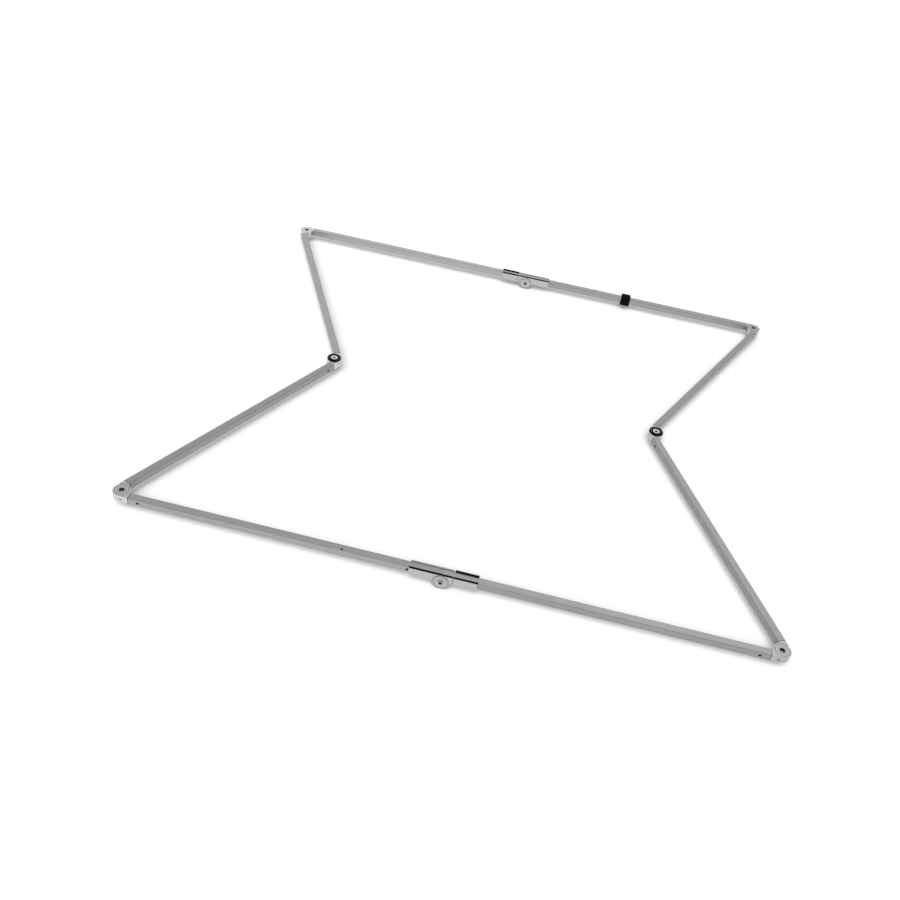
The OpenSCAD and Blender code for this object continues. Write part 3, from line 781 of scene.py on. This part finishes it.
def knee_marks(name, side, body):
    """Short raised ticks, printed left and right on the knee's disc."""
    shape = bmesh.new()
    knee = KNEES[side]
    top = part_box(side + "_knee_cap")[1].z
    place = Matrix.Translation((knee.x, knee.y, top))
    for middle in (0, 180):
        for step in range(-TICKS_EACH_WAY, TICKS_EACH_WAY + 1):
            turn = math.radians(middle + step * TICK_TURN)
            far = TICK_OUTER - (TICK_SHORTER if step % 2 else 0)
            along = Vector((math.cos(turn), math.sin(turn), 0))
            across = Vector((-along.y, along.x, 0)) * TICK_HALF_WIDTH
            ring = [along * TICK_INNER - across, along * far - across,
                    along * far + across, along * TICK_INNER + across]
            low = [shape.verts.new(place @ (point
                                            - Vector((0, 0, TICK_SINK))))
                   for point in ring]
            high = [shape.verts.new(place @ (point * TICK_TAPER
                                             + Vector((0, 0, TICK_RISE))))
                    for point in ring]
            shape.faces.new(high)
            shape.faces.new(low)
            for first in range(4):
                second = (first + 1) % 4
                shape.faces.new((low[first], low[second], high[second],
                                 high[first]))
    make_piece(name, shape, print_white(name + "_print"), body,
               smooth=False)


strap_line = wound_band("strap_band")
stitch_rows("strap_stitches", strap_line)
knee_marks("left_knee_marks", "left", "left_back_arm")
knee_marks("right_knee_marks", "right", "right_back_arm")

# ---------- floor, light and camera ----------

STAGE_RADIUS = 9.0
FLOOR_SIDES = 96
BACKDROP_LEVEL, TENT_LEVEL, SKY_LEVEL = 1.0, 0.86, 0.45
SUN_PLACE = (-0.4, -3.1, 4.5)
SUN_LEVEL = 2.7
SUN_ANGLE = math.radians(50)        # a wide sun for soft shadows
CARD_DISTANCE = 7.0
# Name, azimuth, elevation, width, height and level of each reflector.
CARDS = [("right_card", 28, 50, 4.0, 3.0, 0.42),
         ("back_card", -18, 24, 4.5, 1.8, 0.36),
         ("front_card", 200, 48, 5.0, 3.0, 0.8)]


def stage_piece(name, shape, material):
    """A surface of the set, which isn't part of the object."""
    mesh = bpy.data.meshes.new(name)
    shape.to_mesh(mesh)
    shape.free()
    mesh.materials.append(material)
    piece = bpy.data.objects.new(name, mesh)
    bpy.context.scene.collection.objects.link(piece)
    return piece


def studio_floor():
    """Round floor of matt white paper."""
    shape = bmesh.new()
    bmesh.ops.create_circle(shape, cap_ends=True, radius=STAGE_RADIUS,
                            segments=FLOOR_SIDES)
    g = Graph("paper_white")
    fibre = g.noise(g.place, 400.0, 3.0)
    colour = g.mix(fibre, grey(0.91), grey(0.93))
    stage_piece("studio_floor", shape,
                g.finish(colour, 0.9, specular_ior_level=0.0))


def dome(name, level):
    """Evenly lit dome round the set. It casts no light or shadow."""
    shape = bmesh.new()
    bmesh.ops.create_icosphere(shape, subdivisions=5, radius=STAGE_RADIUS)
    material = bpy.data.materials.new(name + "_white")
    material.use_nodes = True
    shader = material.node_tree.nodes["Principled BSDF"]
    shader.inputs["Base Color"].default_value = grey(0.0)
    shader.inputs["Specular IOR Level"].default_value = 0.0
    shader.inputs["Emission Color"].default_value = grey(1.0)
    shader.inputs["Emission Strength"].default_value = level
    material.cycles.emission_sampling = "NONE"
    piece = stage_piece(name, shape, material)
    piece.visible_diffuse = False
    piece.visible_shadow = False
    piece.visible_transmission = False
    return piece


def add_light(name, kind, place, **settings):
    """A lamp that faces the origin."""
    light = bpy.data.lights.new(name, kind)
    for key, value in settings.items():
        setattr(light, key, value)
    lamp = bpy.data.objects.new(name, light)
    lamp.location = place
    lamp.rotation_euler = (-Vector(place)).to_track_quat("-Z", "Y").to_euler()
    bpy.context.scene.collection.objects.link(lamp)
    return lamp


def reflector(name, azimuth, elevation, width, height, level):
    """Lit card that only the gloss sees. Azimuth is from +Y to +X."""
    turn, rise = math.radians(azimuth), math.radians(elevation)
    place = Vector((math.sin(turn) * math.cos(rise),
                    math.cos(turn) * math.cos(rise),
                    math.sin(rise))) * CARD_DISTANCE
    lamp = add_light(name, "AREA", place, shape="ELLIPSE", size=width,
                     size_y=height,
                     energy=level * math.pi * math.pi * width * height / 4)
    lamp.visible_camera = False
    lamp.visible_diffuse = False


studio_floor()
dome("studio_backdrop", BACKDROP_LEVEL).visible_glossy = False
dome("studio_tent", TENT_LEVEL).visible_camera = False
add_light("key", "SUN", SUN_PLACE, energy=SUN_LEVEL,
          angle=SUN_ANGLE).visible_glossy = False
for card in CARDS:
    reflector(*card)

world = bpy.data.worlds.new("studio")
world.use_nodes = True
sky = world.node_tree.nodes["Background"]
sky.inputs["Color"].default_value = grey(1.0)
sky.inputs["Strength"].default_value = SKY_LEVEL
scene = bpy.context.scene
scene.world = world
scene.view_settings.view_transform = "Standard"

CAMERA_PLACE = Vector((0.1315, -2.8335, TUBE_HIGH.z + 2.0996))
CAMERA_AZIMUTH = math.radians(5.169)
CAMERA_ELEVATION = math.radians(40.319)
CAMERA_ROLL = math.radians(9.821)
CAMERA_LENS = 37.54             # mm, for a sensor 36 mm wide
CAMERA_SENSOR = 36
CAMERA_REACH = 60               # metres to the far clipping plane


def photo_camera():
    """Camera at the photograph's angle: pan, tilt and roll."""
    data = bpy.data.cameras.new("camera")
    data.lens = CAMERA_LENS
    data.sensor_width = CAMERA_SENSOR
    data.clip_end = CAMERA_REACH
    camera = bpy.data.objects.new("camera", data)
    ahead = Vector((-math.sin(CAMERA_AZIMUTH) * math.cos(CAMERA_ELEVATION),
                    math.cos(CAMERA_AZIMUTH) * math.cos(CAMERA_ELEVATION),
                    -math.sin(CAMERA_ELEVATION)))
    right = Vector((math.cos(CAMERA_AZIMUTH), math.sin(CAMERA_AZIMUTH), 0))
    up = right.cross(ahead)
    cos_roll, sin_roll = math.cos(CAMERA_ROLL), math.sin(CAMERA_ROLL)
    rolled_right = right * cos_roll + up * sin_roll
    rolled_up = up * cos_roll - right * sin_roll
    turn = Matrix((rolled_right, rolled_up, -ahead)).transposed()
    camera.matrix_world = Matrix.Translation(CAMERA_PLACE) @ turn.to_4x4()
    scene.collection.objects.link(camera)
    scene.camera = camera


photo_camera()
